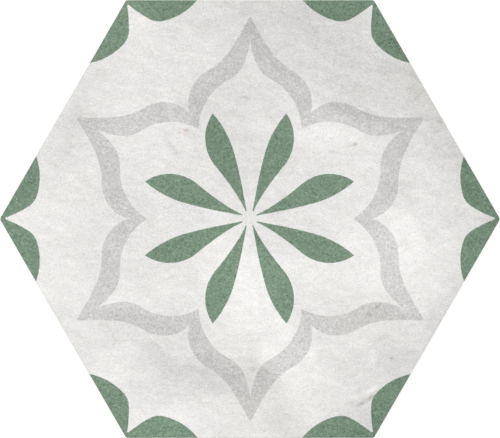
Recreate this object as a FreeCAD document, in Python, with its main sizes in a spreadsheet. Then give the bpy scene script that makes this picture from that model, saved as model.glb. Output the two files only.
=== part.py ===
"""Hexagon floor tile: one slab of pressed porcelain, glazed and printed on its face.

The slab is as it leaves the press and the kiln, as one piece. Its face is flat, with a small
round along the arris. The edge is upright below the face and then leans in a little towards
the back, so that it leaves the die. The back carries a honeycomb of shallow cells, and the
ribs between them are what the adhesive grips.

Frame: millimetres. Z = 0 is the bedding plane, on the tops of the back's ribs, and the face
looks along +Z. The origin is the middle of the back. A corner points along +X and a flat side
faces +Y, as the tile is seen from above.
"""

import FreeCAD, Part

import math
import os

import Sketcher

DIMENSIONS = [
    # alias, value, what it is
    ("across_corners", 200, "left corner to right corner, in plan"),
    ("across_flats", 175, "upper side to lower side, in plan"),
    ("tile_thickness", 8.5, "face to the tops of the back's ribs"),
    ("corner_radius", 1.2, "round of the six upright corners, in plan"),
    ("arris_radius", 0.7, "round between the face and the edge"),
    ("skirt_height", 4.5, "the lower part of the edge, which leans in"),
    ("skirt_draft", 4, "lean of that part, in degrees"),
    ("heel_radius", 0.5, "round between the edge and the back"),
    ("cell_pitch", 20, "middle to middle of neighbouring cells"),
    ("rib_width", 2.4, "flat top of the rib between two cells"),
    ("cell_depth", 0.7, "rib top to cell floor"),
    ("cell_draft", 30, "lean of a cell's walls, in degrees"),
    ("back_border", 6, "least plain border round the cells"),
]

CORNER_LEAN = 60  # degrees between a slanted side and the X axis: three tiles meet at a point
SIXTH_TURN = 60
FLATNESS = 1e-4  # millimetres: an edge or a face is level if it rises by less

# Expressions on the sheet that several features share
MOUTH_REACH = "(Dimensions.cell_pitch - Dimensions.rib_width) / 2 / cos(30 deg)"
RING_STEP = "Dimensions.cell_pitch * cos(30 deg)"
NEAREST_SIDE = "min(Dimensions.across_flats / 2; Dimensions.across_corners / 2 * cos(30 deg))"
RING_COUNT = f"floor(({NEAREST_SIDE} - Dimensions.back_border - {MOUTH_REACH}) / ({RING_STEP}))"

doc = FreeCAD.newDocument("hexagon_floor_tile")


def write_dimensions():
    """One row of the sheet for each driving dimension: its name, its value and what it is."""
    sheet = doc.addObject("Spreadsheet::Sheet", "Dimensions")
    for row, (alias, value, meaning) in enumerate(DIMENSIONS, start=1):
        sheet.set(f"A{row}", alias)
        sheet.set(f"B{row}", str(value))
        sheet.setAlias(f"B{row}", alias)
        sheet.set(f"C{row}", meaning)
    doc.recompute()
    return sheet


def origin_feature(body, role):
    """The body's own origin plane or axis with that role."""
    return next(f for f in body.Origin.OriginFeatures if f.Role == role)


def new_sketch(body, name):
    """A sketch on the body's XY plane, which is the plane of the back."""
    sketch = body.newObject("Sketcher::SketchObject", name)
    sketch.AttachmentSupport = (origin_feature(body, "XY_Plane"), [""])
    sketch.MapMode = "FlatFace"
    return sketch


def bound_size(sketch, constraint, name, expression):
    """Adds a constraint, names it and binds its value to the sheet."""
    index = sketch.addConstraint(constraint)
    sketch.renameConstraint(index, name)
    sketch.setExpression(f"Constraints.{name}", expression)


def closed_outline(sketch, corners):
    """A line from each corner to the next, joined end to end. Returns the lines' numbers."""
    lines = []
    for start, end in zip(corners, corners[1:] + corners[:1]):
        segment = Part.LineSegment(FreeCAD.Vector(*start, 0), FreeCAD.Vector(*end, 0))
        lines.append(sketch.addGeometry(segment))
    for line, following in zip(lines, lines[1:] + lines[:1]):
        sketch.addConstraint(Sketcher.Constraint("Coincident", line, 2, following, 1))
    return lines


def draw_tile_outline(sketch, sheet):
    """The plan of the tile: a corner on each side of the middle, and a level side above and below."""
    half_length = sheet.across_corners / 2
    half_height = sheet.across_flats / 2
    half_side = half_length - half_height / math.tan(math.radians(CORNER_LEAN))
    corners = [
        (half_length, 0),
        (half_side, half_height),
        (-half_side, half_height),
        (-half_length, 0),
        (-half_side, -half_height),
        (half_side, -half_height),
    ]
    upper_right, top, upper_left, lower_left, bottom, lower_right = closed_outline(sketch, corners)
    x_axis, y_axis, origin = -1, -2, (-1, 1)
    sketch.addConstraint(Sketcher.Constraint("Symmetric", top, 1, top, 2, y_axis))
    sketch.addConstraint(Sketcher.Constraint("Symmetric", bottom, 1, bottom, 2, y_axis))
    sketch.addConstraint(Sketcher.Constraint("Symmetric", top, 1, bottom, 2, x_axis))
    sketch.addConstraint(Sketcher.Constraint("Symmetric", upper_right, 1, lower_left, 1, *origin))
    sketch.addConstraint(Sketcher.Constraint("PointOnObject", upper_right, 1, x_axis))
    lean = math.radians(180 - CORNER_LEAN)
    sketch.addConstraint(Sketcher.Constraint("Angle", x_axis, 1, upper_right, 1, lean))
    length = Sketcher.Constraint("DistanceX", *origin, upper_right, 1, half_length)
    bound_size(sketch, length, "half_length", "Dimensions.across_corners / 2")
    height = Sketcher.Constraint("DistanceY", *origin, top, 1, half_height)
    bound_size(sketch, height, "half_height", "Dimensions.across_flats / 2")


def press_slab(body, sheet):
    """The slab with no rounds: an upright band below the face, and the skirt that leans in under it."""
    outline = new_sketch(body, "tile_outline")
    outline.setExpression("AttachmentOffset.Base.z", "Dimensions.skirt_height")
    draw_tile_outline(outline, sheet)
    doc.recompute()

    band = body.newObject("PartDesign::Pad", "upright_band")
    band.Profile = outline
    band.setExpression("Length", "Dimensions.tile_thickness - Dimensions.skirt_height")
    doc.recompute()

    skirt = body.newObject("PartDesign::Pad", "drafted_skirt")
    skirt.Profile = outline
    skirt.Reversed = True
    skirt.setExpression("Length", "Dimensions.skirt_height")
    skirt.setExpression("TaperAngle", "-Dimensions.skirt_draft")
    doc.recompute()
    return skirt


def rises(edge):
    return edge.BoundBox.ZLength > FLATNESS


def lies_at(level):
    """A test for the edges and faces that are level, at that height."""

    def wanted(shape):
        box = shape.BoundBox
        return box.ZLength < FLATNESS and abs(box.ZMin - level) < FLATNESS

    return wanted


def round_edges(body, feature, name, wanted, radius):
    """A fillet on the edges that the test accepts, with its radius bound to the sheet."""
    edges = [f"Edge{n}" for n, edge in enumerate(feature.Shape.Edges, start=1) if wanted(edge)]
    fillet = body.newObject("PartDesign::Fillet", name)
    fillet.Base = (feature, edges)
    fillet.setExpression("Radius", f"Dimensions.{radius}")
    doc.recompute()
    return fillet


def draw_cell_mouth(sketch, sheet):
    """One cell's mouth: a regular hexagon with a flat side towards each of its six neighbours."""
    half_width = (sheet.cell_pitch - sheet.rib_width) / 2
    reach = half_width / math.cos(math.radians(SIXTH_TURN / 2))
    turns = [math.radians(SIXTH_TURN * (k + 0.5)) for k in range(6)]
    lines = closed_outline(sketch, [(reach * math.cos(a), reach * math.sin(a)) for a in turns])
    rim_circle = Part.Circle(FreeCAD.Vector(0, 0, 0), FreeCAD.Vector(0, 0, 1), reach)
    rim = sketch.addGeometry(rim_circle, True)
    sketch.addConstraint(Sketcher.Constraint("Coincident", rim, 3, -1, 1))
    for line in lines:
        sketch.addConstraint(Sketcher.Constraint("PointOnObject", line, 1, rim))
    for line in lines[1:]:
        sketch.addConstraint(Sketcher.Constraint("Equal", lines[0], line))
    sketch.addConstraint(Sketcher.Constraint("Vertical", lines[-1]))
    bound_size(sketch, Sketcher.Constraint("Radius", rim, reach), "mouth_radius", MOUTH_REACH)


def add_rank_guide(sketch):
    """A construction line from the cell's middle, the second way in which the cells repeat."""
    turn = math.radians(2 * SIXTH_TURN)
    reach = 1
    end = FreeCAD.Vector(reach * math.cos(turn), reach * math.sin(turn), 0)
    guide = sketch.addGeometry(Part.LineSegment(FreeCAD.Vector(0, 0, 0), end), True)
    sketch.addConstraint(Sketcher.Constraint("Coincident", guide, 1, -1, 1))
    sketch.addConstraint(Sketcher.Constraint("Angle", -1, 1, guide, 1, turn))
    sketch.addConstraint(Sketcher.Constraint("Distance", guide, reach))


def press_cell(body, sheet, name, aside="0"):
    """One shallow cell in the back, that far along X, with walls that lean inwards."""
    mouth = new_sketch(body, f"{name}_mouth")
    mouth.setExpression("AttachmentOffset.Base.x", aside)
    draw_cell_mouth(mouth, sheet)
    add_rank_guide(mouth)
    doc.recompute()

    cell = body.newObject("PartDesign::Pocket", name)
    cell.Profile = mouth
    cell.Reversed = True
    cell.setExpression("Length", "Dimensions.cell_depth")
    cell.setExpression("TaperAngle", "-Dimensions.cell_draft")
    doc.recompute()
    return cell


def repeat_along(body, mouth, name, direction, count):
    """Cells in a line, a pitch apart, along one of the mouth sketch's own axes."""
    line = body.newObject("PartDesign::LinearPattern", name)
    line.Direction = (mouth, [direction])
    line.Mode = "Spacing"
    line.setExpression("Offset", "Dimensions.cell_pitch")
    line.setExpression("Occurrences", count)
    return line


def press_honeycomb(body, sheet):
    """All the cells: one in the middle, and three lozenges of them that turn about it.

    A lozenge is as many cells long as there are rings round the middle one, and one more wide,
    so that the three close up into a hexagon with no cell missing and none pressed twice.
    """
    press_cell(body, sheet, "middle_cell")
    first = press_cell(body, sheet, "first_cell", aside="Dimensions.cell_pitch")
    mouth = first.Profile[0]
    row = repeat_along(body, mouth, "lozenge_row", "H_Axis", RING_COUNT)
    ranks = repeat_along(body, mouth, "lozenge_ranks", "Axis0", f"{RING_COUNT} + 1")

    turns = body.newObject("PartDesign::PolarPattern", "three_lozenges")
    turns.Axis = (origin_feature(body, "Z_Axis"), [""])
    turns.Angle = 360
    turns.Occurrences = 3

    honeycomb = body.newObject("PartDesign::MultiTransform", "honeycomb")
    honeycomb.Originals = [first]
    honeycomb.Transformations = [row, ranks, turns]
    honeycomb.Refine = False
    body.Tip = honeycomb
    doc.recompute()
    return row.Occurrences


def check_features():
    """Stops before anything is written if a feature has failed or a sketch is left loose."""
    for feature in doc.Objects:
        if {"Invalid", "Error"} & set(feature.State):
            raise RuntimeError(f"{feature.Name} failed: {feature.getStatusString()}")
        if feature.TypeId == "Sketcher::SketchObject" and not feature.FullyConstrained:
            raise RuntimeError(f"{feature.Name} can still move")


def check_tile(shape, sheet, rings):
    """Stops if the tile isn't one sound solid with every cell of the honeycomb in its back."""
    if shape.isNull() or not shape.isValid() or len(shape.Solids) != 1:
        raise RuntimeError("the tile isn't one valid solid")
    floors = [face for face in shape.Faces if lies_at(sheet.cell_depth)(face)]
    cells = 1 + 3 * rings * (rings + 1)
    if len(floors) != cells:
        raise RuntimeError(f"the back has {len(floors)} cells, and {rings} rings take {cells}")
    print(f"tile: {len(shape.Faces)} faces, {cells} cells, {shape.Volume / 1000:.1f} cm3")


def main():
    sheet = write_dimensions()
    body = doc.addObject("PartDesign::Body", "tile")
    body.Label = "tile"
    slab = press_slab(body, sheet)
    corners = round_edges(body, slab, "corner_rounds", rises, "corner_radius")
    at_face = lies_at(sheet.tile_thickness)
    arris = round_edges(body, corners, "arris_round", at_face, "arris_radius")
    round_edges(body, arris, "heel_round", lies_at(0), "heel_radius")
    rings = press_honeycomb(body, sheet)

    check_features()
    check_tile(body.Shape, sheet, rings)
    os.makedirs("parts", exist_ok=True)
    body.Shape.exportStep("parts/tile.step")


main()
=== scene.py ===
# %% [markdown]
# # A hexagon floor tile, from the press to the print
#
# The object is one slab of porcelain. Powder is pressed in a steel die, the face is glazed and
# printed, and the slab is fired. The die gives it its section, and the print gives it its looks.
# This lesson builds both from a few sizes. The shape comes from Geometry Nodes, because a sweep,
# a grid and a honeycomb all follow a rule. The print is drawn inside the material, from arcs, so
# that its edges stay sharp at any distance.

import math
from collections import namedtuple

import bmesh
import bpy
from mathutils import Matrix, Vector


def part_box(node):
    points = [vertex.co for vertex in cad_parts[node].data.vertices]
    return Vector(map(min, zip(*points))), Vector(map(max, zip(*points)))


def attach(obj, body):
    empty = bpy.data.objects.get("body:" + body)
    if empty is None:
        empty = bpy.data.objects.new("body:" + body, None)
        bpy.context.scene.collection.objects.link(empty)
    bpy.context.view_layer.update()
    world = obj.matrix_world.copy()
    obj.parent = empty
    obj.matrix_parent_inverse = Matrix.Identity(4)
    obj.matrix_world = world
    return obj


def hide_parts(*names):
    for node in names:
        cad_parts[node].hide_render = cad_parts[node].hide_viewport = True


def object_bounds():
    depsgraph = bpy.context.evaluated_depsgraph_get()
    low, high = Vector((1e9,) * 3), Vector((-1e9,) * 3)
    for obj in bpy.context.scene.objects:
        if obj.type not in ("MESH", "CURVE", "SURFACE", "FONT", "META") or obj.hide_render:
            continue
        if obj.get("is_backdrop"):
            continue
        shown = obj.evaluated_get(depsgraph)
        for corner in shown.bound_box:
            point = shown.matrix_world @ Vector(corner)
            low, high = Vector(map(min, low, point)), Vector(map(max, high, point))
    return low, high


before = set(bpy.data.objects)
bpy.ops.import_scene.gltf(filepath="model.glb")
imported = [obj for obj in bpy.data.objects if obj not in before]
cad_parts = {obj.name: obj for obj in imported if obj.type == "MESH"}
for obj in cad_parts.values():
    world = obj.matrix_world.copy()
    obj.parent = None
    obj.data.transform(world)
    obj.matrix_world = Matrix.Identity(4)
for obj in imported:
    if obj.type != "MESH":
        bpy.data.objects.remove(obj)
cad_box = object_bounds()
low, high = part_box("tile")
print("the tile spans", [round(side, 5) for side in high - low], "metres")

# %% [markdown]
# ## The sizes of the press tool
#
# The tile's plan and thickness are read from the frame. Its rounds, the lean of its lower edge and
# the cells of its back are the press tool's own sizes, so they have names here, in millimetres
# turned to metres. The frame's corners are already rounded, so the sharp corner lies a little
# outside them: a 120 degree corner loses r / cos 30 - r to its round. SLANT is that cosine, the
# share of a slanted side's normal that points along the tile.

# %% Sizes of the slab
MM = 0.001
SIXTH = math.radians(60)
SLANT = math.cos(SIXTH / 2)
CORNER_ROUND = 1.2 * MM
ARRIS_ROUND = 0.7 * MM
HEEL_ROUND = 0.5 * MM
SKIRT_HEIGHT = 4.5 * MM
SKIRT_LEAN = math.tan(math.radians(4))
CELL_PITCH = 20 * MM
CELL_RINGS = 4
RIB_WIDTH = 2.4 * MM
CELL_DEPTH = 0.7 * MM
CELL_LEAN = math.tan(math.radians(30))

half_length = high.x + CORNER_ROUND / SLANT - CORNER_ROUND
half_height = high.y
thickness = high.z
print(f"sharp corners {2000 * half_length:.2f} mm apart, sides {2000 * half_height:.2f} mm apart")

# %% [markdown]
# ## Sketches
#
# A press tool is drawn before it is cut, and so is this one. Four bent lines hold its whole shape:
# the outline, the section of the edge, the mouth of one cell and the section of its wall. Each is a
# small mesh of points and edges, and every point also carries the radius of its round. The rounds
# themselves are left to the Fillet Curve node, which is easier than working out their points.

# %% A new object, and a sketch with a radius on each point
def new_object(name, data):
    """An object in the scene that shows this mesh, lamp or camera."""
    made = bpy.data.objects.new(name, data)
    bpy.context.scene.collection.objects.link(made)
    return made


def sketch(name, points, closed=False):
    """A bent line through points, each given as its x, its y and the radius of its round."""
    edges = [(n, n + 1) for n in range(len(points) - 1)]
    if closed:
        edges.append((len(points) - 1, 0))
    mesh = bpy.data.meshes.new(name)
    mesh.from_pydata([(x, y, 0) for x, y, _ in points], edges, [])
    rounds = mesh.attributes.new("round", "FLOAT", "POINT")
    rounds.data.foreach_set("value", [radius for _, _, radius in points])
    print(f"sketch {name}: {len(points)} points")
    return new_object(name, mesh)


# %% The outline, with points along its sides so that the sweep has short faces
SIDE_STEPS = 72
half_side = half_length - half_height / math.tan(SIXTH)
corners = [(half_length, 0), (half_side, half_height), (-half_side, half_height)]
corners += [(-x, -y) for x, y in corners]

outline_points = []
for start, end in zip(corners, corners[1:] + corners[:1]):
    outline_points.append((*start, CORNER_ROUND))
    for step in range(1, SIDE_STEPS):
        x, y = Vector(start).lerp(Vector(end), step / SIDE_STEPS)
        outline_points.append((x, y, 0))
outline = sketch("outline", outline_points, closed=True)

# %% [markdown]
# ## The section of the edge
#
# Seen in section, the face turns down over a small arris, drops as an upright band and then leans in
# as a skirt, which lets the slab leave its die. A heel rounds it off below. A sweep lays the first
# axis of its section outwards and the second one downwards, so heights are written with a minus
# sign. The extra points, a lip away from each round, hold the shading flat beside it. Without them
# the soft light of the round would creep over the whole side.

# %% Draw the edge section from the face to the back
LIP = 0.3 * MM


def on_skirt(height):
    """The point of the skirt at that height, with no round."""
    return (-(SKIRT_HEIGHT - height) * SKIRT_LEAN, -height, 0)


heel_run = HEEL_ROUND * math.tan((math.radians(90) - math.atan(SKIRT_LEAN)) / 2)
heel_inset = SKIRT_HEIGHT * SKIRT_LEAN
edge_section = sketch(
    "edge_section",
    [
        (-(ARRIS_ROUND + LIP), -thickness, 0),
        (0, -thickness, ARRIS_ROUND),
        (0, -(thickness - ARRIS_ROUND - LIP), 0),
        (0, -(SKIRT_HEIGHT + LIP), 0),
        on_skirt(SKIRT_HEIGHT),
        on_skirt(SKIRT_HEIGHT - LIP),
        on_skirt(heel_run + LIP),
        (-heel_inset, 0, HEEL_ROUND),
        (-(heel_inset + heel_run + LIP), 0, 0),
    ],
)

# %% Draw one cell of the back: its mouth, and the section of its wall
MOUTH_ROUND = 1.0 * MM
PRESS_ROUND = 0.3 * MM
mouth_reach = (CELL_PITCH - RIB_WIDTH) / 2 / SLANT
mouth_turns = [SIXTH * (k + 0.5) for k in range(6)]
mouth_corners = [(mouth_reach * math.cos(a), mouth_reach * math.sin(a)) for a in mouth_turns]
mouth = sketch("mouth", [(x, y, MOUTH_ROUND) for x, y in mouth_corners], closed=True)

cell_inset = CELL_DEPTH * CELL_LEAN
cell_section = sketch(
    "cell_section",
    [
        (LIP, 0, 0),
        (0, 0, PRESS_ROUND),
        (-cell_inset, -CELL_DEPTH, PRESS_ROUND),
        (-(cell_inset + LIP), -CELL_DEPTH, 0),
    ],
)

# %% [markdown]
# ## A short way to write nodes
#
# Trees in this lesson are written as code, so that each size can be followed, and a few helpers
# keep that readable. `add` makes a node, sets its options and feeds its inputs. `calc` and `aim` do
# arithmetic on numbers and on vectors, `axis_of` and `xyz` lead from one kind to the other, and
# `ramp` and `mix` make soft changes. `start_group` opens a node group with named sockets,
# `end_group` closes it, and `use` puts it to work in another tree.

# %% Helpers for every tree
def pick(sockets, key):
    """The socket in use that has that name or number."""
    used = [socket for socket in sockets if socket.enabled]
    return used[key] if isinstance(key, int) else next(s for s in used if s.name == key)


def add(tree, kind, inputs=None, output=0, **options):
    """A new node: a socket given as an input is linked, and a plain value is set."""
    node = tree.nodes.new(kind)
    for name, value in options.items():
        setattr(node, name, value)
    for key, value in (inputs or {}).items():
        if isinstance(value, bpy.types.NodeSocket):
            tree.links.new(value, pick(node.inputs, key))
        else:
            pick(node.inputs, key).default_value = value
    return pick(node.outputs, output)


def calc(tree, operation, *values):
    """Arithmetic on numbers."""
    return add(tree, "ShaderNodeMath", dict(enumerate(values)), operation=operation)


def aim(tree, operation, *values):
    """Arithmetic on vectors."""
    return add(tree, "ShaderNodeVectorMath", dict(enumerate(values)), operation=operation)


def axis_of(tree, spot, axis):
    """The X, Y or Z of a vector."""
    return add(tree, "ShaderNodeSeparateXYZ", {0: spot}, axis)


def xyz(tree, x=0, y=0, z=0):
    """A vector from three numbers."""
    return add(tree, "ShaderNodeCombineXYZ", {"X": x, "Y": y, "Z": z})


def ramp(tree, value, start, end, soft=False):
    """0 up to the start and 1 from the end on. A soft ramp has no corners."""
    way = {"Value": value, "From Min": start, "From Max": end}
    curve = "SMOOTHSTEP" if soft else "LINEAR"
    return add(tree, "ShaderNodeMapRange", way, interpolation_type=curve)


def mix(tree, share, a, b, data_type="FLOAT"):
    """a where the share is 0, b where it is 1."""
    return add(tree, "ShaderNodeMix", {"Factor": share, "A": a, "B": b}, data_type=data_type)


# %% Helpers that open, close and use a group
def start_group(name, kind, takes, gives):
    """A node group with named sockets, and what its inputs bring in."""
    tree = bpy.data.node_groups.new(name, kind)
    for way, sockets in (("INPUT", takes), ("OUTPUT", gives)):
        for label, socket in sockets.items():
            tree.interface.new_socket(label, in_out=way, socket_type=f"NodeSocket{socket}")
    entry = tree.nodes.new("NodeGroupInput")
    return tree, {socket.name: socket for socket in entry.outputs if socket.name}


def end_group(tree, results):
    """Links each result to the group's output of that name."""
    way_out = tree.nodes.new("NodeGroupOutput")
    for label, socket in results.items():
        tree.links.new(socket, way_out.inputs[label])
    print(f"group {tree.name}: {len(tree.nodes)} nodes")


def use(tree, group, inputs, output=0):
    """What a group gives for these inputs, in another tree of its kind."""
    kind = tree.bl_idname.replace("Tree", "Group")
    return add(tree, kind, inputs, output, node_tree=group)


# %% [markdown]
# ## Two small groups that every part of the slab uses
#
# The first turns a sketch into a curve with its rounds. The second finds the open rims of a sheet,
# the edges with a face on one side only, and hands them back as curves: those above a height and
# those below it. Sheets that share a rim have the same points on it, so they close up when the
# doubles are merged at the end.

# %% Sketch to rounded line
GEOMETRY = "GeometryNodeTree"

rounded_line, given = start_group(
    "rounded_line", GEOMETRY, {"Sketch": "Geometry", "Segments": "Int"}, {"Line": "Geometry"}
)
line = add(rounded_line, "GeometryNodeMeshToCurve", {"Mesh": given["Sketch"]})
radius = add(rounded_line, "GeometryNodeInputNamedAttribute", {"Name": "round"})
rounding = {"Curve": line, "Count": given["Segments"], "Radius": radius, "Limit Radius": False}
line = add(rounded_line, "GeometryNodeFilletCurve", rounding, mode="POLY")
end_group(rounded_line, {"Line": line})

# %% Open rims above and below a height
open_rims, given = start_group(
    "open_rims",
    GEOMETRY,
    {"Mesh": "Geometry", "Height": "Float"},
    {"Upper": "Geometry", "Lower": "Geometry"},
)
faces_beside = {"A": add(open_rims, "GeometryNodeInputMeshEdgeNeighbors"), "B": 1}
is_open = add(open_rims, "FunctionNodeCompare", faces_beside, data_type="INT", operation="EQUAL")
position = add(open_rims, "GeometryNodeInputPosition")
heights = {"A": axis_of(open_rims, position, "Z"), "B": given["Height"]}
rims = {}
for label, test in (("Upper", "GREATER_THAN"), ("Lower", "LESS_THAN")):
    on_that_side = add(open_rims, "FunctionNodeCompare", heights, operation=test)
    chosen = add(open_rims, "FunctionNodeBooleanMath", {0: is_open, 1: on_that_side})
    chosen = {"Mesh": given["Mesh"], "Selection": chosen}
    rims[label] = add(open_rims, "GeometryNodeMeshToCurve", chosen)
end_group(open_rims, rims)

# %% [markdown]
# ## A map for the bake
#
# An exported tile carries its print as a picture, so it needs a map that gives the face most of the
# room. Here the tile is laid out by rule. The face goes down flat, and the edge is unrolled outwards
# all round it, so the print has no seam at the arris. The back is a second, smaller hexagon, and
# it nests against the first like the next cell of a honeycomb. Sizes on the map are shares of its
# width, and the gap between the hexagons is a few pixels of the picture.

# %% Lay out the two hexagons
MAP_PIXELS = 1024
MAP_GAP = 4 / MAP_PIXELS
rim_inset = ARRIS_ROUND + LIP
arris_length = ARRIS_ROUND * math.pi / 2
band_length = thickness - ARRIS_ROUND - SKIRT_HEIGHT
skirt_length = (SKIRT_HEIGHT - heel_run) / math.cos(math.atan(SKIRT_LEAN))
heel_length = HEEL_ROUND * (math.radians(90) - math.atan(SKIRT_LEAN))
edge_length = 2 * LIP + arris_length + band_length + skirt_length + heel_length
unrolled = edge_length - rim_inset

map_half_length = half_length + unrolled / SLANT
face_scale = (0.5 - MAP_GAP) / map_half_length
face_middle = Vector((0.5, MAP_GAP + face_scale * (half_height + unrolled), 0))

slant_reach = half_length * SLANT
free_way = face_middle.x * SLANT + (1 - MAP_GAP - face_middle.y) / 2
free_way -= MAP_GAP * SLANT + face_scale * (slant_reach + unrolled) + MAP_GAP
back_scale = free_way / (2 * slant_reach + half_height / 2)
back_left = MAP_GAP + back_scale * half_length
back_middle = Vector((back_left, 1 - MAP_GAP - back_scale * half_height, 0))
for side, scale in (("face", face_scale), ("back", back_scale)):
    print(f"the {side} has {MAP_PIXELS * MM * scale:.2f} pixels a millimetre")

# %% [markdown]
# ## The edge as a sweep
#
# The outline is the path and the edge section is the profile of one Curve to Mesh node. Before the
# sweep, each point of the path keeps its own place and its outward direction, and each point of
# the section keeps how far along the section it lies. The map then needs only a sum: start from
# the outline, and go outwards by that length. ON_MAP holds the sockets that this group shares with
# the group of the face.

# %% A helper that keeps values on a geometry's points
def keep_values(tree, geometry, fields):
    """Keeps each field as it is now, for use after the geometry has changed."""
    node = tree.nodes.new("GeometryNodeCaptureAttribute")
    tree.links.new(geometry, node.inputs["Geometry"])
    for label, (kind, field) in fields.items():
        node.capture_items.new(kind, label)
        tree.links.new(field, node.inputs[label])
    return [node.outputs["Geometry"]] + [node.outputs[label] for label in fields]


def store_map(tree, geometry, spot, scale, middle):
    """Writes the place of each face corner on the bake's map."""
    place = aim(tree, "ADD", aim(tree, "SCALE", spot, scale), middle)
    stored = {"Geometry": geometry, "Name": "OFBake", "Value": place}
    kind = "GeometryNodeStoreNamedAttribute"
    return add(tree, kind, stored, data_type="FLOAT2", domain="CORNER")


# %% The group that sweeps the edge
MESH = {"Mesh": "Geometry"}
ON_MAP = {"Inset": "Float", "Scale": "Float", "Middle": "Vector"}

sweep, given = start_group(
    "swept_edge", GEOMETRY, {"Path": "Geometry", "Section": "Geometry", **ON_MAP}, MESH
)
path = add(sweep, "GeometryNodeSetCurveNormal", {"Curve": given["Path"]}, mode="Z_UP")
position = add(sweep, "GeometryNodeInputPosition")
normal = add(sweep, "GeometryNodeInputNormal")
path, spot, outward = keep_values(
    sweep, path, {"Spot": ("VECTOR", position), "Outward": ("VECTOR", normal)}
)
length = add(sweep, "GeometryNodeSplineParameter", output="Length")
section, along = keep_values(sweep, given["Section"], {"Along": ("FLOAT", length)})
wall = add(sweep, "GeometryNodeCurveToMesh", {"Curve": path, "Profile Curve": section})
beyond = calc(sweep, "SUBTRACT", along, given["Inset"])
laid_out = aim(sweep, "ADD", spot, aim(sweep, "SCALE", outward, beyond))
wall = store_map(sweep, wall, laid_out, given["Scale"], given["Middle"])
end_group(sweep, {"Mesh": wall})

# %% [markdown]
# ## The face as a grid
#
# A fired face is never quite flat. It sinks and swells by a few hundredths of a millimetre, which
# shows only as a slow change in a reflection. So the face is a fine grid and not one polygon.
# Squares that come too near the rim are deleted, and Fill Curve closes the narrow gap between the
# grid and the rim. The unevenness fades out before it reaches the arris, and only ever goes down,
# so the tile stays as thick as the frame says.

# %% The group that makes the face
SHEET_SIZES = ("Half Length", "Half Height", "Grid Step", "Unevenness")
takes = {"Rim": "Geometry", "Height": "Float", **ON_MAP, **dict.fromkeys(SHEET_SIZES, "Float")}
sheet, given = start_group("face_sheet", GEOMETRY, takes, MESH)
long_side = calc(sheet, "MULTIPLY", given["Half Length"], 2)
short_side = calc(sheet, "MULTIPLY", given["Half Height"], 2)
grid_size = {
    "Size X": long_side,
    "Size Y": short_side,
    "Vertices X": calc(sheet, "DIVIDE", long_side, given["Grid Step"]),
    "Vertices Y": calc(sheet, "DIVIDE", short_side, given["Grid Step"]),
}
grid = add(sheet, "GeometryNodeMeshGrid", grid_size)

# %% How far inside the outline each point of the grid lies
position = add(sheet, "GeometryNodeInputPosition")
folded = aim(sheet, "ABSOLUTE", position)
to_level_side = calc(sheet, "SUBTRACT", given["Half Height"], axis_of(sheet, folded, "Y"))
side_reach = calc(sheet, "MULTIPLY", given["Half Length"], SLANT)
own_reach = aim(sheet, "DOT_PRODUCT", folded, (SLANT, math.sin(SIXTH / 2), 0))
to_slanted_side = calc(sheet, "SUBTRACT", side_reach, own_reach)
inside = calc(sheet, "MINIMUM", to_level_side, to_slanted_side)

# %% Trim the grid, make it uneven and close it to the rim
EVEN_BORDER = 2 * MM
FADE = 8 * MM
SWELLS_A_METRE = 45

margin = calc(sheet, "ADD", given["Inset"], given["Grid Step"])
too_near = add(sheet, "FunctionNodeCompare", {"A": inside, "B": margin}, operation="LESS_THAN")
trimmed = {"Geometry": grid, "Selection": too_near}
flat_grid = add(sheet, "GeometryNodeDeleteGeometry", trimmed, domain="FACE")
look = {"Vector": position, "Scale": SWELLS_A_METRE, "Detail": 3, "Roughness": 0.4}
swell = add(sheet, "ShaderNodeTexNoise", look)
sunk = calc(sheet, "MULTIPLY", swell, given["Unevenness"])
border = calc(sheet, "ADD", margin, EVEN_BORDER)
share = ramp(sheet, inside, border, calc(sheet, "ADD", border, FADE), soft=True)
depth = calc(sheet, "MULTIPLY", sunk, share)
lift = xyz(sheet, z=calc(sheet, "MULTIPLY", depth, -1))
grid = add(sheet, "GeometryNodeSetPosition", {"Geometry": flat_grid, "Offset": lift})
grid_rim = use(sheet, open_rims, {"Mesh": flat_grid, "Height": -1}, "Upper")


# %% A helper that joins geometries, and one that lifts them
def join(tree, *parts):
    """One geometry from several."""
    node = tree.nodes.new("GeometryNodeJoinGeometry")
    for part in parts:
        tree.links.new(part, node.inputs[0])
    return node.outputs[0]


def raise_to(tree, geometry, height):
    """The same geometry, that much higher."""
    lifted = {"Geometry": geometry, "Translation": xyz(tree, z=height)}
    return add(tree, "GeometryNodeTransform", lifted)


both_rims = join(sheet, given["Rim"], grid_rim)
closing = add(sheet, "GeometryNodeFillCurve", {"Curve": both_rims})
face = raise_to(sheet, join(sheet, grid, closing), given["Height"])
face = store_map(sheet, face, position, given["Scale"], given["Middle"])
end_group(sheet, {"Mesh": face})

# %% [markdown]
# ## The honeycomb of the back
#
# Adhesive needs something to grip, so the lower punch leaves shallow cells in the back, with ribs
# between them. One cell is a sweep again: its wall round its mouth, closed by a floor. The cells
# then stand on points that are worked out from their number alone. In a honeycomb, going i cells
# along and j cells up a slant of 60 degrees reaches every place, and the cells within R rings are
# those where i, j and i + j all lie between -R and R.

# %% The group that presses the cells
comb, given = start_group(
    "honeycomb",
    GEOMETRY,
    {"Mouth": "Geometry", "Section": "Geometry", "Depth": "Float", "Pitch": "Float", "Rings": "Int"},
    MESH,
)
path = add(comb, "GeometryNodeSetCurveNormal", {"Curve": given["Mouth"]}, mode="Z_UP")
wall = add(comb, "GeometryNodeCurveToMesh", {"Curve": path, "Profile Curve": given["Section"]})
half_depth = calc(comb, "MULTIPLY", given["Depth"], 0.5)
floor_rim = use(comb, open_rims, {"Mesh": wall, "Height": half_depth}, "Upper")
cell_floor = add(comb, "GeometryNodeFillCurve", {"Curve": floor_rim})
cell = join(comb, wall, raise_to(comb, cell_floor, given["Depth"]))

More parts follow.
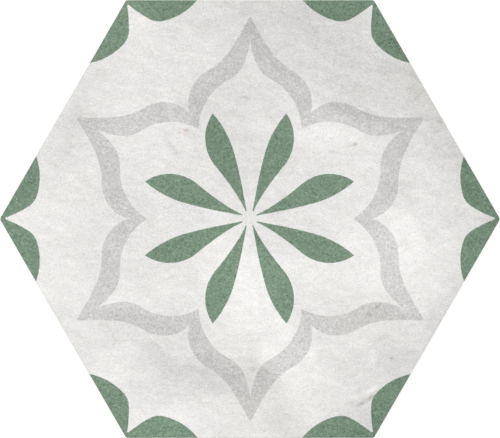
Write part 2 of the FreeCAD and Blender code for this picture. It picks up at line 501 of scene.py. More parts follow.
# %% Place a cell at every point of the honeycomb
row = calc(comb, "MULTIPLY_ADD", given["Rings"], 2, 1)
number = add(comb, "GeometryNodeInputIndex")
along = calc(comb, "SUBTRACT", calc(comb, "MODULO", number, row), given["Rings"])
line_number = calc(comb, "FLOOR", calc(comb, "DIVIDE", number, row))
up = calc(comb, "SUBTRACT", line_number, given["Rings"])
across = calc(comb, "MULTIPLY_ADD", up, math.cos(SIXTH), along)
place = xyz(comb, across, calc(comb, "MULTIPLY", up, math.sin(SIXTH)))
place = aim(comb, "SCALE", place, given["Pitch"])
count = calc(comb, "MULTIPLY", row, row)
points = add(comb, "GeometryNodePoints", {"Count": count, "Position": place})
both = calc(comb, "ABSOLUTE", calc(comb, "ADD", along, up))
in_rings = calc(comb, "LESS_THAN", both, calc(comb, "ADD", given["Rings"], 0.5))
pressed = {"Points": points, "Selection": in_rings, "Instance": cell}
cells = add(comb, "GeometryNodeInstanceOnPoints", pressed)
end_group(comb, {"Mesh": add(comb, "GeometryNodeRealizeInstances", {"Geometry": cells})})

# %% [markdown]
# ## The whole slab in one tree
#
# The slab's tree takes the outline as its own mesh and the other sketches as objects. It sweeps the
# edge, closes the top rim with the face, and closes the bottom rim with the ribs: Fill Curve leaves
# a hole wherever one curve lies inside another, so the mouths of the cells stay open and the cells
# hang in them. Merging the doubles then makes one closed skin. One table gives each input its kind
# and its value.

# %% The slab's inputs
GRID_STEP = 1.25 * MM
UNEVENNESS = 0.08 * MM

fired_tile = bpy.data.materials.new("fired_tile")
slab_inputs = {
    "Edge Section": ("Object", edge_section),
    "Mouth": ("Object", mouth),
    "Cell Section": ("Object", cell_section),
    "Half Length": ("Float", half_length),
    "Half Height": ("Float", half_height),
    "Thickness": ("Float", thickness),
    "Rim Inset": ("Float", rim_inset),
    "Grid Step": ("Float", GRID_STEP),
    "Unevenness": ("Float", UNEVENNESS),
    "Cell Depth": ("Float", CELL_DEPTH),
    "Cell Pitch": ("Float", CELL_PITCH),
    "Cell Rings": ("Int", CELL_RINGS),
    "Face Scale": ("Float", face_scale),
    "Face Middle": ("Vector", face_middle),
    "Back Scale": ("Float", back_scale),
    "Back Middle": ("Vector", back_middle),
    "Material": ("Material", fired_tile),
}

# %% The slab's tree
kinds = {name: kind for name, (kind, _) in slab_inputs.items()}
slab, given = start_group("pressed_slab", GEOMETRY, {"Outline": "Geometry", **kinds}, MESH)


def drawn_line(name, segments):
    """The rounded line of the sketch with that name."""
    drawn = add(slab, "GeometryNodeObjectInfo", {"Object": given[name]}, "Geometry")
    return use(slab, rounded_line, {"Sketch": drawn, "Segments": segments})


# %% Edge and face
CORNER_SEGMENTS = 8
SECTION_SEGMENTS = 6

on_map = {"Inset": given["Rim Inset"], "Scale": given["Face Scale"], "Middle": given["Face Middle"]}
path = use(slab, rounded_line, {"Sketch": given["Outline"], "Segments": CORNER_SEGMENTS})
section = drawn_line("Edge Section", SECTION_SEGMENTS)
edge = use(slab, sweep, {"Path": path, "Section": section, **on_map})

edge_rims = {"Mesh": edge, "Height": calc(slab, "MULTIPLY", given["Thickness"], 0.5)}
top_rim = use(slab, open_rims, edge_rims, "Upper")
low_rim = use(slab, open_rims, edge_rims, "Lower")
takes = {name: given[name] for name in SHEET_SIZES}
takes |= {"Rim": top_rim, "Height": given["Thickness"], **on_map}
face = use(slab, sheet, takes)

# %% Ribs round the cells, then one closed skin
CELL_SEGMENTS = 4
MERGE = 0.001 * MM

takes = {
    "Mouth": drawn_line("Mouth", CELL_SEGMENTS),
    "Section": drawn_line("Cell Section", CELL_SEGMENTS),
    "Depth": given["Cell Depth"],
    "Pitch": given["Cell Pitch"],
    "Rings": given["Cell Rings"],
}
cells = use(slab, comb, takes)
half_depth = calc(slab, "MULTIPLY", given["Cell Depth"], 0.5)
mouth_rims = use(slab, open_rims, {"Mesh": cells, "Height": half_depth}, "Lower")
ribs = add(slab, "GeometryNodeFillCurve", {"Curve": join(slab, low_rim, mouth_rims)})
position = add(slab, "GeometryNodeInputPosition")
back = join(slab, cells, ribs)
back = store_map(slab, back, position, given["Back Scale"], given["Back Middle"])

skin = join(slab, edge, face, back)
skin = add(slab, "GeometryNodeMergeByDistance", {"Geometry": skin, "Distance": MERGE})
skin = add(slab, "GeometryNodeSetShadeSmooth", {"Geometry": skin})
skin = add(slab, "GeometryNodeRealizeInstances", {"Geometry": skin})
skin = add(slab, "GeometryNodeSetMaterial", {"Geometry": skin, "Material": given["Material"]})
end_group(slab, {"Mesh": skin})


# %% Run the tree and keep its result as a plain mesh
def run_tree(host, tree, values):
    """A plain mesh object from the tree, which works on the host object's own mesh."""
    modifier = host.modifiers.new(tree.name, "NODES")
    modifier.node_group = tree
    for item in tree.interface.items_tree:
        if item.name in values:
            modifier[item.identifier] = values[item.name]
    evaluated = host.evaluated_get(bpy.context.evaluated_depsgraph_get())
    mesh = bpy.data.meshes.new_from_object(evaluated)
    host.modifiers.remove(modifier)
    return new_object("glazed_tile", mesh)


tile = run_tree(outline, slab, {name: value for name, (_, value) in slab_inputs.items()})
for drawn in (outline, edge_section, mouth, cell_section):
    bpy.data.objects.remove(drawn)

# %% [markdown]
# ## Is it one closed skin?
#
# A sweep and a fill may face opposite ways, so the normals are worked out again over the merged
# skin. That works only if the skin is closed, which the count of open edges shows. The volume says
# whether it is inside out: a closed skin with its faces outwards has a positive one.

# %% Turn the faces outwards and measure the skin
skin = bmesh.new()
skin.from_mesh(tile.data)
bmesh.ops.recalc_face_normals(skin, faces=skin.faces)
open_edges = sum(not edge.is_manifold for edge in skin.edges)
triangles = sum(len(face.verts) - 2 for face in skin.faces)
print(f"{triangles} triangles, {open_edges} open edges, {skin.calc_volume(signed=True) * 1e6:.1f} cm3")
skin.to_mesh(tile.data)
skin.free()

# %% [markdown]
# ## Drawing with arcs
#
# The print is a grey star of six ogee points, a flower of eight green petals and a pair of green
# leaf tips in each corner. All their edges are smooth bends, as a stencil cutter would draw them. So
# each edge is a stroke: where it starts, which way it heads, and the arcs that it then follows, each
# with a radius and a turn, to the left if it is positive. A material can't draw a line, but it can
# tell on which side of an arc a spot lies, and how far. The arcs of a stroke meet at joints, and the
# line across each joint says which arc is in charge. Two strokes that meet at a narrow angle would
# give a point too fine to print, so it is cut off at a distance from the middle: the star's points,
# the petals' roots, and the ground where it runs out between two leaf tips.

# %% The strokes, in millimetres and degrees from the middle of the print
Stroke = namedtuple("Stroke", "start heading bends")

STAR_OUTSIDE = Stroke((0, 81.16), 296.3, [(127, 6.55), (29.7, 27.65), (14.6, -69.9)])
STAR_INSIDE = Stroke((0, 70.87), 278.6, [(40.3, 12.0), (13.1, 42.0), (22.9, -59.1)])
PETAL_LEFT = Stroke((14.68, 41.77), 228.8, [(40.5, 25.8), (178, 5.1), (300, -1.6)])
PETAL_RIGHT = Stroke((15.26, 40.94), 301.0, [(17.35, -71.0), (122.5, 6.0), (60, 8.0)])
CORNER_LEAF = Stroke((48.77, 85.33), 219.3, [(51.6, -10.95), (8.25, -41.7), (25.25, -33.65)])
STAR_REACH = 80.3
PETAL_ROOT = 3.1
GROUND_REACH = 98.6


def left_of(tree, spot, stroke):
    """How far the spot lies to the left of the stroke. To its right, the number is negative."""
    place = Vector(stroke.start)
    heading = math.radians(stroke.heading)
    side = None
    for radius, turn in stroke.bends:
        bend = math.copysign(radius, turn)
        ahead = Vector((math.cos(heading), math.sin(heading)))
        centre = place + bend * Vector((-ahead.y, ahead.x))
        away = aim(tree, "DISTANCE", spot, (*centre, 0))
        here = calc(tree, "MULTIPLY_ADD", away, math.copysign(1, -turn), bend)
        if side is None:
            side = here
        else:
            progress = aim(tree, "DOT_PRODUCT", spot, (*ahead, 0))
            past = calc(tree, "GREATER_THAN", progress, place.dot(ahead))
            side = mix(tree, past, side, here)
        heading += math.radians(turn)
        place = centre + bend * Vector((math.sin(heading), -math.cos(heading)))
    return side


# %% [markdown]
# ## One wedge stands for all
#
# The star and the leaf tips repeat every 60 degrees and are the same left and right, so they are
# drawn once, in a wedge of 30 degrees, and every spot of the tile is folded into it. The ping-pong
# of the angle does that, as a paper star is folded before it is cut. The petals repeat every 90
# degrees, and there it is enough to take the smaller and the larger of the two distances. No motif
# lies quite in the middle, and the tile's plan isn't regular, so each has a shift and a stretch.

# %% Fold the tile into one wedge
SHADER = "ShaderNodeTree"
STAR_PLACE = ((0.05, 0.04, 0), (0.9925, 1.0015, 1))
PETAL_PLACE = ((-0.16, 0.23, 0), (0.9987, 1.0032, 1))
LEAF_PLACE = ((0.02, 0.16, 0), (0.9901, 0.9981, 1))


def x_and_y(tree, spot):
    """The first two numbers of a vector."""
    return [axis_of(tree, spot, axis) for axis in "XY"]


def placed(tree, spot, place):
    """The x and y of the spot, as seen by a motif with that shift and stretch."""
    shift, stretch = place
    return x_and_y(tree, aim(tree, "DIVIDE", aim(tree, "SUBTRACT", spot, shift), stretch))


def fold_sixth(tree, x, y):
    """The spot, folded into the wedge between straight up and 30 degrees to its right."""
    turn = calc(tree, "PINGPONG", calc(tree, "ARCTAN2", x, y), SIXTH / 2)
    reach = calc(tree, "SQRT", calc(tree, "MULTIPLY_ADD", x, x, calc(tree, "MULTIPLY", y, y)))
    parts = [calc(tree, "MULTIPLY", reach, calc(tree, way, turn)) for way in ("SINE", "COSINE")]
    return xyz(tree, *parts)


stencil, given = start_group("stencil", SHADER, {"Spot": "Vector"}, {"Grey": "Float", "Green": "Float"})
star_spot = fold_sixth(stencil, *placed(stencil, given["Spot"], STAR_PLACE))
leaf_spot = fold_sixth(stencil, *placed(stencil, given["Spot"], LEAF_PLACE))
petal_place = placed(stencil, given["Spot"], PETAL_PLACE)
from_axes = [calc(stencil, "ABSOLUTE", side) for side in petal_place]
ordered = [calc(stencil, which, *from_axes) for which in ("MINIMUM", "MAXIMUM")]
petal_spot = xyz(stencil, *ordered)

# %% Which side of its strokes each motif fills: the results are negative inside it
outside = left_of(stencil, star_spot, STAR_OUTSIDE)
inside = left_of(stencil, star_spot, STAR_INSIDE)
star = calc(stencil, "MAXIMUM", outside, calc(stencil, "MULTIPLY", inside, -1))
along_point = axis_of(stencil, star_spot, "Y")
star = calc(stencil, "MAXIMUM", star, calc(stencil, "SUBTRACT", along_point, STAR_REACH))
petal_left = left_of(stencil, petal_spot, PETAL_LEFT)
petal_right = left_of(stencil, petal_spot, PETAL_RIGHT)
petal = calc(stencil, "MAXIMUM", calc(stencil, "MULTIPLY", petal_left, -1), petal_right)
petal_reach = aim(stencil, "LENGTH", petal_spot)
petal = calc(stencil, "MAXIMUM", petal, calc(stencil, "SUBTRACT", PETAL_ROOT, petal_reach))
leaf = left_of(stencil, leaf_spot, CORNER_LEAF)
leaf_reach = aim(stencil, "LENGTH", leaf_spot)
leaf = calc(stencil, "MINIMUM", leaf, calc(stencil, "SUBTRACT", GROUND_REACH, leaf_reach))
end_group(stencil, {"Grey": star, "Green": calc(stencil, "MINIMUM", petal, leaf)})

# %% [markdown]
# ## The ground
#
# The glaze imitates trowelled cement. Seen from far off it has soft clouds, some lighter and some
# darker, and the strokes of a trowel, which rise to the right in one corner and fall elsewhere.
# Close up it is mottled and grainy, with curled fibres and short faint streaks from side to side.
# Noise alone gives clouds in the wrong places, so the large ones are placed one by one, as ellipses
# with soft edges, and noise only ruffles them. All changes are counted in levels, 1 level being
# about 1 percent of the light, and are added up before they tint anything.
#
# A Mapping node would turn and squash an ellipse in one go. But Cycles can hold only 255 numbers of
# a material at a time, and it works out many vectors ahead of their use, so a hundred of them
# turn the whole tile black. Plain numbers are used up at once. So each spot is worked out with
# arithmetic, and each kind of spot is added up by itself.

# %% Soft spots, and noise that is centred on zero
def soft_spot(tree, along_x, along_y, x, y, wide, tall, turn):
    """1 in the middle of an ellipse and 0 outside it. Sizes are half widths in millimetres."""
    reaches = []
    for half_width, lean in ((wide, turn), (tall, turn + 90)):
        to_x = math.cos(math.radians(lean)) / half_width
        to_y = math.sin(math.radians(lean)) / half_width
        reach = calc(tree, "MULTIPLY_ADD", along_y, to_y, -(x * to_x + y * to_y))
        reaches.append(calc(tree, "MULTIPLY_ADD", along_x, to_x, reach))
    squares = calc(tree, "MULTIPLY", reaches[0], reaches[0])
    squares = calc(tree, "MULTIPLY_ADD", reaches[1], reaches[1], squares)
    return ramp(tree, calc(tree, "SQRT", squares), 1, 0, soft=True)


def sum_of_spots(tree, spot, rows):
    """Many soft spots added up: each row ends with what its spot adds in its middle."""
    axes = x_and_y(tree, spot)
    total = 0.0
    for *ellipse, change in rows:
        total = calc(tree, "MULTIPLY_ADD", soft_spot(tree, *axes, *ellipse), change, total)
    return total


def ripple(tree, spot, size, levels, detail=2.0, seed=0.0, stretch=(1, 1, 1), curl=0.0):
    """Noise with features of about that size, which adds and takes away up to that many levels."""
    scaled = aim(tree, "MULTIPLY", spot, tuple(s / size for s in stretch))
    moved = aim(tree, "ADD", scaled, (seed, -seed, seed / 2))
    look = {"Vector": moved, "Scale": 1, "Detail": detail, "Distortion": curl}
    cloud = add(tree, "ShaderNodeTexNoise", look)
    return calc(tree, "MULTIPLY", calc(tree, "SUBTRACT", cloud, 0.5), 2 * levels)


# %% Clouds: middle x and y, half width, half height, turn in degrees, change in levels
CLOUDS = [
    (22, 78, 36, 34, 0, -16),
    (4, 86, 22, 20, 0, -8),
    (54, 56, 42, 26, -50, -17),
    (76, 44, 50, 15, 120, -12),
    (84, 22, 20, 30, 25, -10),
    (88, -24, 44, 12, 60, -7),
    (95, -2, 18, 18, 0, -14),
    (76, 47, 48, 8, 120, -6),
    (77, -44, 44, 7, 60, -5),
    (34, 48, 22, 11, 0, -11),
    (61, 8, 10, 18, 0, -8),
    (68, -8, 10, 10, 0, -6),
    (52, 86, 12, 12, 0, -7),
    (52, -32, 10, 9, 0, -5),
    (-27, -72, 14, 10, 0, -7),
    (68, -20, 16, 14, 0, 5),
    (-60, -59, 18, 12, 0, 8),
    (64, -31, 14, 10, 0, 6),
    (-27, 54, 12, 12, 0, -6),
    (-36, 35, 10, 8, 0, -6),
    (-7, 16, 12, 12, 0, -7),
    (6, 47, 14, 12, 0, -6),
    (-6, 67, 20, 7, 0, -5),
    (40, -58, 10, 10, 0, -6),
    (8, -58, 12, 8, 0, -6),
    (-30, 46, 14, 6, -38, 7),
    (31, 59, 9, 8, 0, -5),
    (69, 35, 7, 8, 0, -6),
    (79, 34, 6, 7, 0, 7),
    (43, 43, 13, 3, -20, 6),
    (57, -34, 10, 6, 0, 5),
    (-42, -39, 8, 6, 0, 4),
    (-10, -56, 7, 6, 0, 5),
    (-92, 9, 7, 8, 0, -4),
    (60, -16, 8, 7, 0, -5),
    (-8, 40, 24, 36, 0, -6),
    (12, 22, 28, 14, 0, -6),
    (-14, 82, 36, 22, 0, -8),
    (-70, 42, 18, 28, -30, -8),
    (-46, 8, 16, 12, 0, -5),
    (-44, -42, 24, 10, -15, -7),
    (-28, -60, 28, 12, -20, -15),
    (-2, -64, 26, 13, -10, -11),
    (62, -56, 30, 20, 25, -14),
    (50, -80, 24, 18, 0, -16),
    (16, -86, 22, 12, 0, -8),
    (-48, 80, 20, 16, 0, 5),
    (-42, 34, 26, 14, -40, 6),
    (-86, 2, 26, 18, 0, 6),
    (-80, -22, 24, 18, 0, 8),
    (-50, -32, 34, 12, 10, 8),
    (32, 35, 30, 12, -15, 10),
    (54, -12, 28, 26, 0, 14),
    (-12, -10, 24, 18, 0, 7),
    (20, -20, 26, 14, 0, 7),
    (-4, -28, 22, 28, 0, 16),
    (14, -50, 14, 36, 26, 13),
    (-36, -84, 32, 18, 0, 11),
]

# %% Marks: rows like the clouds', for dots and smudges, and for dents and nicks painted as their shade with a lit side beside it, whose edges aren't ruffled
MARKS_AND_DENT_SHADING = [
    (42.0, 29.7, 1.8, 1.2, 15, -26),
    (39.0, 29.2, 5.0, 1.8, 10, -9),
    (41.4, 32.4, 3.4, 2.0, 20, 10),
    (-2.2, 48.6, 3.0, 0.8, 0, -26),
    (-25.6, 35.4, 1.8, 1.5, 0, -13),
    (-28.4, 34.4, 2.0, 1.2, 60, -10),
    (-31.5, 28.8, 5.6, 1.5, -50, -13),
    (45.2, -73.2, 7.0, 1.8, 25, -11),
    (48.4, -71.2, 2.6, 1.0, 34, -30),
    (44.2, -73.7, 2.6, 1.1, 22, -18),
    (48.2, -68.4, 5.2, 1.7, 32, 17),
    (41.6, -71.2, 5.4, 2.0, 8, 10),
    (56.4, -55.7, 1.8, 1.0, 10, -22),
    (50.8, -34.9, 2.8, 1.0, 38, -22),
    (44.8, -35.6, 2.0, 1.2, -25, -15),
    (47.2, -37.6, 1.2, 1.0, 0, -13),
    (71.2, -7.9, 2.6, 2.2, 0, -13),
    (1.1, -60.0, 2.6, 2.2, 0, -14),
    (84.0, 1.6, 2.6, 1.6, 20, -12),
    (85.0, 5.0, 2.4, 1.6, 20, 9),
    (9.0, 40.2, 2.4, 0.8, -40, -10),
    (7.4, 38.2, 2.4, 0.8, -40, 7),
    (42.2, 53.0, 3.2, 1.4, 30, -9),
    (45.0, 55.2, 3.0, 1.2, 30, 7),
    (27.2, -47.4, 2.4, 3.4, 30, -8),
    (25.0, -54.0, 3.0, 5.0, 0, 6),
    (-52.4, -60.0, 3.4, 3.0, 30, 7),
    (20.4, 28.4, 1.4, 1.0, 0, -6),
    (76.0, 38.9, 1.6, 3.0, 30, -14),
]

# %% Stains: rows that end in a strength. A yellowing below zero makes the ground bluer
IRON = [
    (-25.7, 35.6, 1.6, 1.3, 0, 1.0),
    (-25.9, 33.9, 1.4, 1.3, 0, 0.7),
    (42.2, 29.6, 2.2, 1.5, 15, 0.3),
    (47.4, -71.8, 3.6, 1.6, 30, 0.6),
    (47.8, -38.6, 1.0, 2.2, -10, 0.9),
    (50.8, -34.9, 2.4, 1.0, 38, 0.5),
]
YELLOWING = [
    (-6, -50, 14, 13, 0, 1.5),
    (9, -77, 22, 18, 0, 1.5),
    (2, -60, 12, 10, 0, 0.6),
    (45, -40, 20, 14, 20, 1.1),
    (30, -24, 14, 10, 0, 0.8),
    (26, -73, 14, 10, 0, 0.6),
    (-70, 12, 12, 10, 0, 0.7),
    (-34, -24, 14, 10, 0, 0.6),
    (68, 54, 10, 20, 30, 0.7),
    (-40, -73, 20, 12, 0, -0.8),
    (-22, -84, 14, 10, 0, -0.6),
    (2, -16, 14, 16, 0, -0.7),
    (26.6, 0.4, 2.2, 2.0, 0, 2.5),
    (20.4, 28.4, 2.2, 1.6, 0, 2.5),
    (76.2, 38.6, 1.8, 3.4, 30, 3.0),
]
IRON_CHANGE = (-0.07, -0.16, -0.18)
YELLOW_CHANGE = (0.006, 0.003, -0.011)
STAINS = [(IRON_CHANGE, IRON), (YELLOW_CHANGE, YELLOWING)]

# %% Patches where the inks lie thick or thin: rows like those of the clouds
INK_PATCHES = [
    (24, 10, 26, 12, 22, 4),
    (-16, 36, 12, 26, 0, -5),
    (15, -36, 14, 14, 0, 7),
    (34, -14, 16, 12, 0, -4),
    (89, 12, 12, 16, 0, -7),
    (38, 82, 18, 12, 0, -6),
    (53, 70, 12, 14, 0, -4),
    (-88, 12, 12, 16, 0, -4),
    (-62, 18, 16, 22, 0, -4),
    (46, 42, 16, 16, 0, -2),
]
print(len(CLOUDS), "clouds,", len(MARKS_AND_DENT_SHADING), "marks,", len(IRON + YELLOWING), "stains")

# %% [markdown]
# ## Ink on the ground
#
# Both inks lie thin on the ground, so its clouds show through them. An ink is therefore a tint that
# multiplies the ground. The inks themselves are speckled where the dots of the print didn't take
# evenly, and lie thicker or thinner in patches. Each ink's row gives its tint, the way in which
# its colour shifts as it gets thinner, and how strongly it is speckled. Where a motif ends, the ink
# fades over about a quarter of a millimetre along a slightly unsteady line.
#
# The print looks straight down, so it reads a spot with no height and runs down over the arris as
# straight lines. The grain keeps the height, or it would draw streaks down the glazed side.

# %% The group that gives the printed colour and the grain of the glaze
GROUND = (0.787, 0.779, 0.763)
INKS = [
    ("Grey", (0.767, 0.765, 0.767), (0.767, 0.765, 0.767), 0.5),
    ("Green", (0.225, 0.332, 0.2405), (0.265, 0.310, 0.280), 1.05),
]
INK_FADE = 0.12
LEVEL = 0.01
NO_CHANGE = (1, 1, 1)
HALF_WAY = (0.5, 0.5, 0.5)
CAST = (0.022, 0.006, 0.026)
RUFFLE = (28, 28, 0)
RUFFLE_OF_STROKES = 0.5
RISING_CORNER = [(50, -60, 60, 40, 25, 1)]
RISING = 28
FALLING = -25

glaze, given = start_group(
    "printed_glaze", SHADER, {"Spot": "Vector"}, {"Color": "Color", "Grain": "Float"}
)
flat_spot = aim(glaze, "MULTIPLY", given["Spot"], (1, 1, 0))
face_spot = aim(glaze, "SUBTRACT", given["Spot"], (0, 0, thickness / MM))


def three_noises(size, reach, detail):
    """A vector of three separate noises, each between minus and plus half its reach."""
    look = {"Vector": flat_spot, "Scale": 1 / size, "Detail": detail}
    noises = add(glaze, "ShaderNodeTexNoise", look, "Color")
    return aim(glaze, "MULTIPLY", aim(glaze, "SUBTRACT", noises, HALF_WAY), reach)


def strokes(turn, seed):
    """Trowel strokes that run that way: broad soft ones, with fine ones inside them."""
    turned = {"Vector": bent_spot, "Angle": math.radians(-turn)}
    turned = add(glaze, "ShaderNodeVectorRotate", turned, rotation_type="Z_AXIS")
    broad = ripple(glaze, turned, 4.5, 9, detail=2, seed=seed, stretch=(0.25, 1, 1))
    fine = ripple(glaze, turned, 1.3, 7, detail=3, seed=seed + 3, stretch=(0.3, 1, 1))
    return calc(glaze, "ADD", broad, fine)


ruffle = three_noises(14, RUFFLE, 3)
ruffled = aim(glaze, "ADD", flat_spot, ruffle)
bend = aim(glaze, "SCALE", ruffle, RUFFLE_OF_STROKES)
bent_spot = aim(glaze, "ADD", face_spot, bend)

rising_there = sum_of_spots(glaze, ruffled, RISING_CORNER)
levels = mix(glaze, rising_there, strokes(FALLING, 6.1), strokes(RISING, 2.7))
clouds = sum_of_spots(glaze, ruffled, CLOUDS)
# Marks: dots and smudges, with painted shade and painted highlight standing for dents and nicks
marks_and_dent_shading = sum_of_spots(glaze, flat_spot, MARKS_AND_DENT_SHADING)
drift = ripple(glaze, flat_spot, 13, 5, detail=2, seed=3.1)
mottle = ripple(glaze, face_spot, 2.4, 6, detail=3, seed=8.4)
grain = ripple(glaze, face_spot, 0.6, 22, detail=2, seed=1.7)
fibres = ripple(glaze, face_spot, 1.5, 16, detail=4, seed=4.6, curl=2.0)
streaks = ripple(glaze, bent_spot, 0.8, 9, detail=2, seed=5.3, stretch=(0.12, 1, 1))
for part in (clouds, marks_and_dent_shading, drift, mottle, grain, fibres, streaks):
    levels = calc(glaze, "ADD", levels, part)
light = calc(glaze, "MULTIPLY_ADD", levels, LEVEL, 1)

# %% Tint the ground with faint casts of colour and with its stains
color = aim(glaze, "SCALE", GROUND, light)
cast = aim(glaze, "ADD", three_noises(5, CAST, 4), NO_CHANGE)
for change, stains in STAINS:
    stain = aim(glaze, "SCALE", change, sum_of_spots(glaze, flat_spot, stains))
    cast = aim(glaze, "ADD", cast, stain)
color = aim(glaze, "MULTIPLY", color, cast)

# %% Lay the two inks over the ground
unsteady = ripple(glaze, face_spot, 0.9, 0.16, seed=2.2)
speckle = ripple(glaze, face_spot, 0.8, 96, detail=3, seed=6.5, curl=1.0)
patches = ripple(glaze, face_spot, 5, 4, detail=2, seed=3.7)
patches = calc(glaze, "ADD", patches, sum_of_spots(glaze, flat_spot, INK_PATCHES))
for ink, tint, thinner, speckled in INKS:
    edge = use(glaze, stencil, {"Spot": flat_spot}, ink)
    edge = calc(glaze, "ADD", edge, unsteady)
    cover = ramp(glaze, edge, INK_FADE, -INK_FADE, soft=True)
    thin = calc(glaze, "MULTIPLY_ADD", speckle, speckled, patches)
    thin = aim(glaze, "SCALE", thinner, calc(glaze, "MULTIPLY", thin, LEVEL))
    inked = aim(glaze, "MULTIPLY", color, aim(glaze, "ADD", thin, tint))
    color = mix(glaze, cover, color, inked, "VECTOR")
end_group(glaze, {"Color": color, "Grain": grain})

# %% [markdown]
# ## The bare body
#
# Glaze runs over the arris and stops in an uneven line on the upright band. Below it the fired body
# is bare: a pale, warm grey with fine dark grains of iron and the faint drag marks of the die. The
# Voronoi node scatters the grains and says how far off the nearest one is, in its own cells. The
# tops of the ribs have a whitish dust on them, from the wash that keeps a tile from sticking to the
# kiln's rollers. It has rubbed off in places.

# %% The group for the body
BODY = (0.585, 0.550, 0.490)
GRAINS_A_MM = 0.42
IRON_CORE = 0.04
IRON_RIM = 0.10
IRON_SHADE = 0.55
WASH = (0.760, 0.750, 0.715)
WASH_SHARE = 0.6
WASH_FULL = 0.05
WASH_GONE = 0.15

bare_body, given = start_group(
    "bare_body", SHADER, {"Spot": "Vector"}, {"Color": "Color", "Grain": "Float"}
)
spot = given["Spot"]
grain = ripple(bare_body, spot, 0.5, 10, detail=3, seed=4.4)
mottle = ripple(bare_body, spot, 9, 9, detail=3, seed=7.7)
drag = ripple(bare_body, spot, 1.1, 5, detail=2, seed=9.1, stretch=(1, 1, 0.15))
levels = calc(bare_body, "ADD", calc(bare_body, "ADD", grain, mottle), drag)
light = calc(bare_body, "MULTIPLY_ADD", levels, LEVEL, 1)
iron = add(bare_body, "ShaderNodeTexVoronoi", {"Vector": spot, "Scale": GRAINS_A_MM}, "Distance")
clear = ramp(bare_body, iron, IRON_CORE, IRON_RIM)
shade = calc(bare_body, "MULTIPLY_ADD", clear, 1 - IRON_SHADE, IRON_SHADE)
light = calc(bare_body, "MULTIPLY", light, shade)
body = aim(bare_body, "SCALE", BODY, light)

rub = ripple(bare_body, spot, 7, 1.6, detail=4, seed=2.9)
on_rib = ramp(bare_body, axis_of(bare_body, spot, "Z"), WASH_GONE, WASH_FULL)
dusted = calc(bare_body, "MULTIPLY", on_rib, calc(bare_body, "ADD", WASH_SHARE, rub))
dusted = add(bare_body, "ShaderNodeClamp", {"Value": dusted})
body = mix(bare_body, dusted, body, aim(bare_body, "SCALE", WASH, light), "VECTOR")
end_group(bare_body, {"Color": body, "Grain": grain})

# %% [markdown]
# ## One material for the fired tile
#
# The two groups meet in one Principled shader. A mask made from the height says which of them is
# seen, with noise to make the glaze end in an uneven line. The glaze is matt but not dead, and the
# body is rougher. Both read Object coordinates, turned to millimetres, so that every number above
# is a size that can be measured on the tile.

# %% Join glaze and body in the material
GLAZE_END = 1.7
GLAZE_FADE = 0.1
SHINE = 0.25
GLAZE_ROUGHNESS = 0.56
BODY_ROUGHNESS = 0.88
GRAIN_HEIGHT = 0.0008 * MM

fired_tile.use_nodes = True
nodes = fired_tile.node_tree
nodes.nodes.clear()
spot = add(nodes, "ShaderNodeTexCoord", output="Object")
spot = aim(nodes, "SCALE", spot, 1 / MM)
height = axis_of(nodes, spot, "Z")
drip = ripple(nodes, spot, 4.0, 0.9, detail=3, seed=1.3)
glaze_line = calc(nodes, "ADD", thickness / MM - GLAZE_END, drip)
over_line = calc(nodes, "SUBTRACT", height, glaze_line)
glazed = ramp(nodes, over_line, -GLAZE_FADE, GLAZE_FADE)


def of_both(output, data_type):
    """The same output of both groups, mixed by where the glaze is."""
    both = [use(nodes, group, {"Spot": spot}, output) for group in (bare_body, glaze)]
    return mix(nodes, glazed, *both, data_type)


roughness = mix(nodes, glazed, BODY_ROUGHNESS, GLAZE_ROUGHNESS)
grain = of_both("Grain", "FLOAT")
relief = add(nodes, "ShaderNodeBump", {"Height": grain, "Distance": GRAIN_HEIGHT})
finish = {
    "Base Color": of_both("Color", "RGBA"),
    "Roughness": roughness,
    "Normal": relief,
    "Specular IOR Level": SHINE,
}
shader = add(nodes, "ShaderNodeBsdfPrincipled", finish)
way_out = nodes.nodes.new("ShaderNodeOutputMaterial")
nodes.links.new(shader, way_out.inputs["Surface"])
print(f"material {fired_tile.name}: {len(nodes.nodes)} nodes")

# %% [markdown]
# ## The stage
#
# The tile lies on a plain white floor under plain soft light: an even white sky, and one broad sun
# that stands nearly overhead, so that the shadow stays short and soft. A floor that is lit to less
# than white would look grey, so it adds a little of its own light where the camera, a reflection or
# glass looks at it. The sun's strength and the sky's together make a colour render about as it is
# written.

# %% Floor
FLOOR_DROP = 0.1 * MM
FLOOR_REACH = 3.0
FLOOR_COLOR = (0.9, 0.9, 0.9, 1)
FLOOR_GLOW = 0.2
WHITE = (1, 1, 1, 1)

bpy.ops.mesh.primitive_plane_add(size=2 * FLOOR_REACH, location=(0, 0, low.z - FLOOR_DROP))
floor = bpy.context.object
floor.name = "floor"
floor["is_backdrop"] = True


def seen_directly(tree):
    """1 for rays from the camera, a mirror or glass, and 0 for the light that falls on things."""
    kinds = ("Is Camera Ray", "Is Glossy Ray", "Is Transmission Ray")
    camera, glossy, glass = [add(tree, "ShaderNodeLightPath", output=kind) for kind in kinds]
    return calc(tree, "MAXIMUM", calc(tree, "MAXIMUM", camera, glossy), glass)


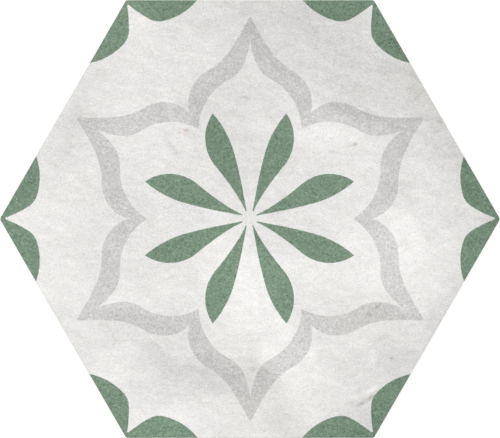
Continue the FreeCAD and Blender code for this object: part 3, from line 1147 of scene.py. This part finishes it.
white_floor = bpy.data.materials.new("white_floor")
white_floor.use_nodes = True
floor_nodes = white_floor.node_tree
floor_shader = floor_nodes.nodes["Principled BSDF"]
matt = {"Roughness": 1, "Specular IOR Level": 0, "Base Color": FLOOR_COLOR, "Emission Color": WHITE}
for name, value in matt.items():
    floor_shader.inputs[name].default_value = value
glow = calc(floor_nodes, "MULTIPLY", seen_directly(floor_nodes), FLOOR_GLOW)
floor_nodes.links.new(glow, floor_shader.inputs["Emission Strength"])
floor.data.materials.append(white_floor)
print(f"the floor is {FLOOR_DROP / MM:.1f} mm below the tile")

# %% Sky and sun
SKY_LIGHT = 0.68
SUN_SHARE = 0.32
SUN_WIDTH = math.radians(20)
SUN_TILT = math.radians(8)
SUN_TURN = math.radians(188)

world = bpy.data.worlds.new("studio")
bpy.context.scene.world = world
world.use_nodes = True
sky = world.node_tree
background = sky.nodes["Background"]
background.inputs["Color"].default_value = WHITE
strength = mix(sky, seen_directly(sky), SKY_LIGHT, 1)
sky.links.new(strength, background.inputs["Strength"])

sun = new_object("sun", bpy.data.lights.new("sun", "SUN"))
sun.data.energy = SUN_SHARE * math.pi / math.cos(SUN_TILT)
sun.data.angle = SUN_WIDTH
sun.rotation_euler = (SUN_TILT, 0, SUN_TURN)
print(f"the sun gives {SUN_SHARE:.0%} of the light")

# %% [markdown]
# ## The camera
#
# The picture is taken from straight above, with the tile from edge to edge of it. A long lens does
# that with little perspective. The camera's height above the face is to the tile's length as the
# length of the lens is to the width of the sensor.

# %% A long lens, straight down
LENS = 100
SENSOR = 36
NEAREST = 0.01

camera = new_object("camera", bpy.data.cameras.new("camera"))
camera.data.lens = LENS
camera.data.sensor_width = SENSOR
camera.data.clip_start = NEAREST
camera.location = (0, 0, thickness + (high.x - low.x) * LENS / SENSOR)
bpy.context.scene.camera = camera
bpy.context.scene.view_settings.view_transform = "Standard"
print(f"the camera is {camera.location.z:.3f} m above the floor")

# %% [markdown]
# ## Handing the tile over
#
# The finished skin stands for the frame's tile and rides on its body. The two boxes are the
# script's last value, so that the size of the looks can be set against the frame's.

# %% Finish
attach(tile, "root")
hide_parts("tile")

boxes = {"cad": cad_box, "visual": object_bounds()}
{name: [list(corner) for corner in box] for name, box in boxes.items()}
